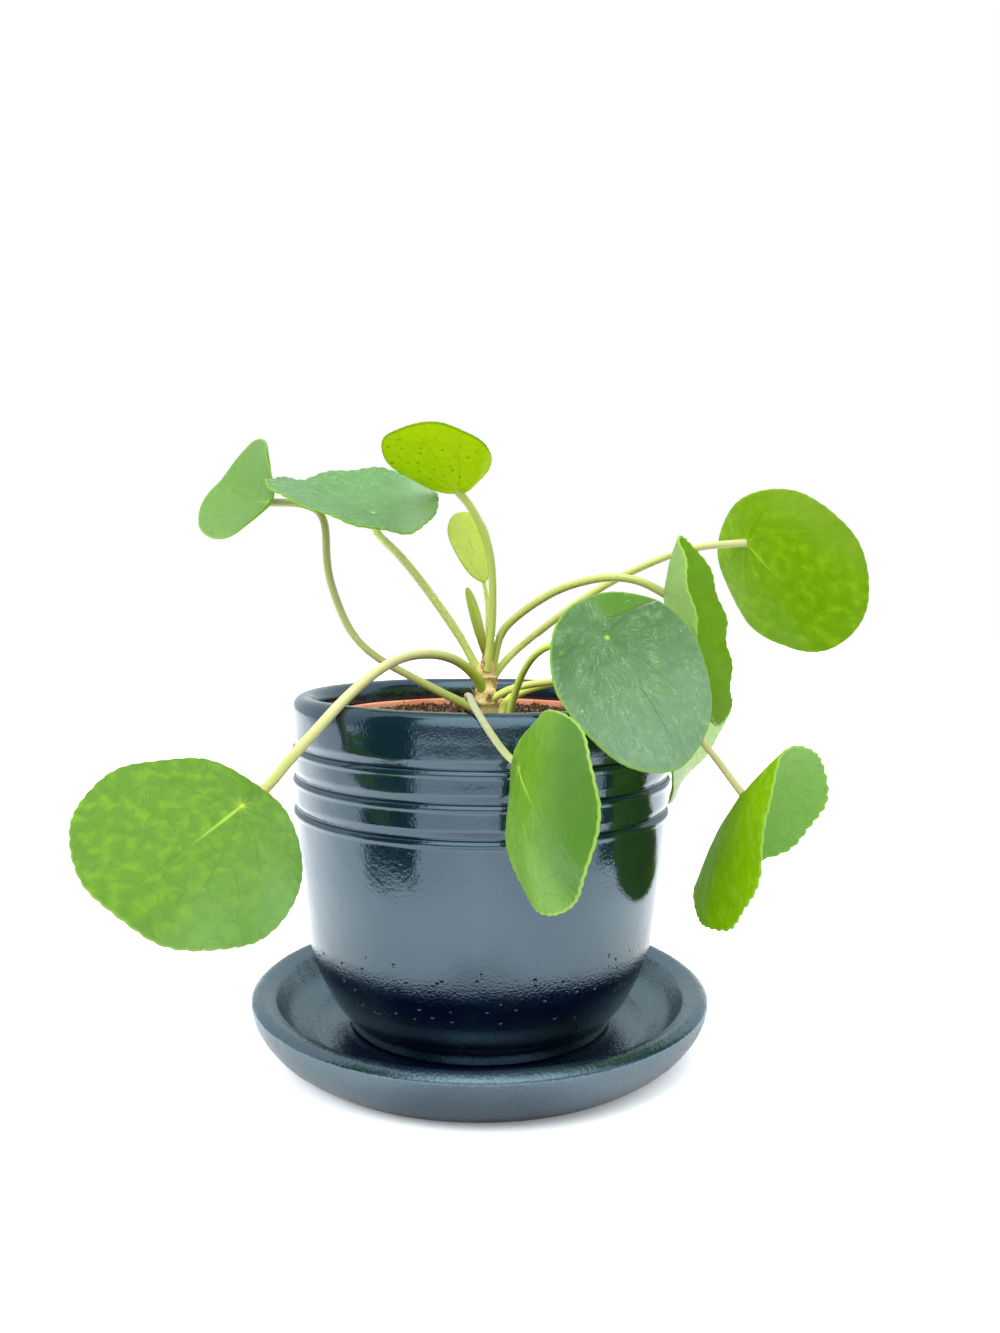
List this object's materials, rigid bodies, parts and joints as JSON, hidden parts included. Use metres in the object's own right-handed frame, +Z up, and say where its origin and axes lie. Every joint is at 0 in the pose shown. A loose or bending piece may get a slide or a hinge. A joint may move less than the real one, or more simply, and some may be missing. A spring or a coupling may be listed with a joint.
{
  "type": "potted house plant",
  "caption": "House plant with round leaves on long arching stalks, growing in a nursery pot that stands inside a grooved painted pot on a matching saucer.",
  "frame": {"origin": "centre of the saucer's flat underside, on the surface it stands on", "axes": "+Z up through the middle of the pot, -Y towards the side the picture shows, +X to that side's right"},
  "size_m": [0.2456, 0.1972, 0.2129],
  "materials": {
    "pot_paint": "satin",
    "nursery_plastic": "matte",
    "soil": "matte",
    "trunk": "matte",
    "stalk": "satin",
    "leaf": "satin"
  },
  "bodies": {
    "root": {"saucer": "pot_paint", "cover_pot": "pot_paint", "nursery_pot": "nursery_plastic", "soil": "soil", "trunk": "trunk", "stalk_far_left": "stalk", "blade_far_left": "leaf", "stalk_upper_left": "stalk", "blade_upper_left": "leaf", "stalk_top": "stalk", "blade_top": "leaf", "stalk_young": "stalk", "blade_young": "leaf", "blade_bud": "leaf", "stalk_far_right": "stalk", "blade_far_right": "leaf", "stalk_right_folded": "stalk", "blade_right_folded": "leaf", "stalk_front_torn": "stalk", "blade_front_torn": "leaf", "stalk_behind_torn": "stalk", "blade_behind_torn": "leaf", "stalk_low_right": "stalk", "blade_low_right": "leaf", "stalk_front_hanging": "stalk", "blade_front_hanging": "leaf", "stalk_front_left": "stalk", "blade_front_left": "leaf"}
  },
  "joints": []
}
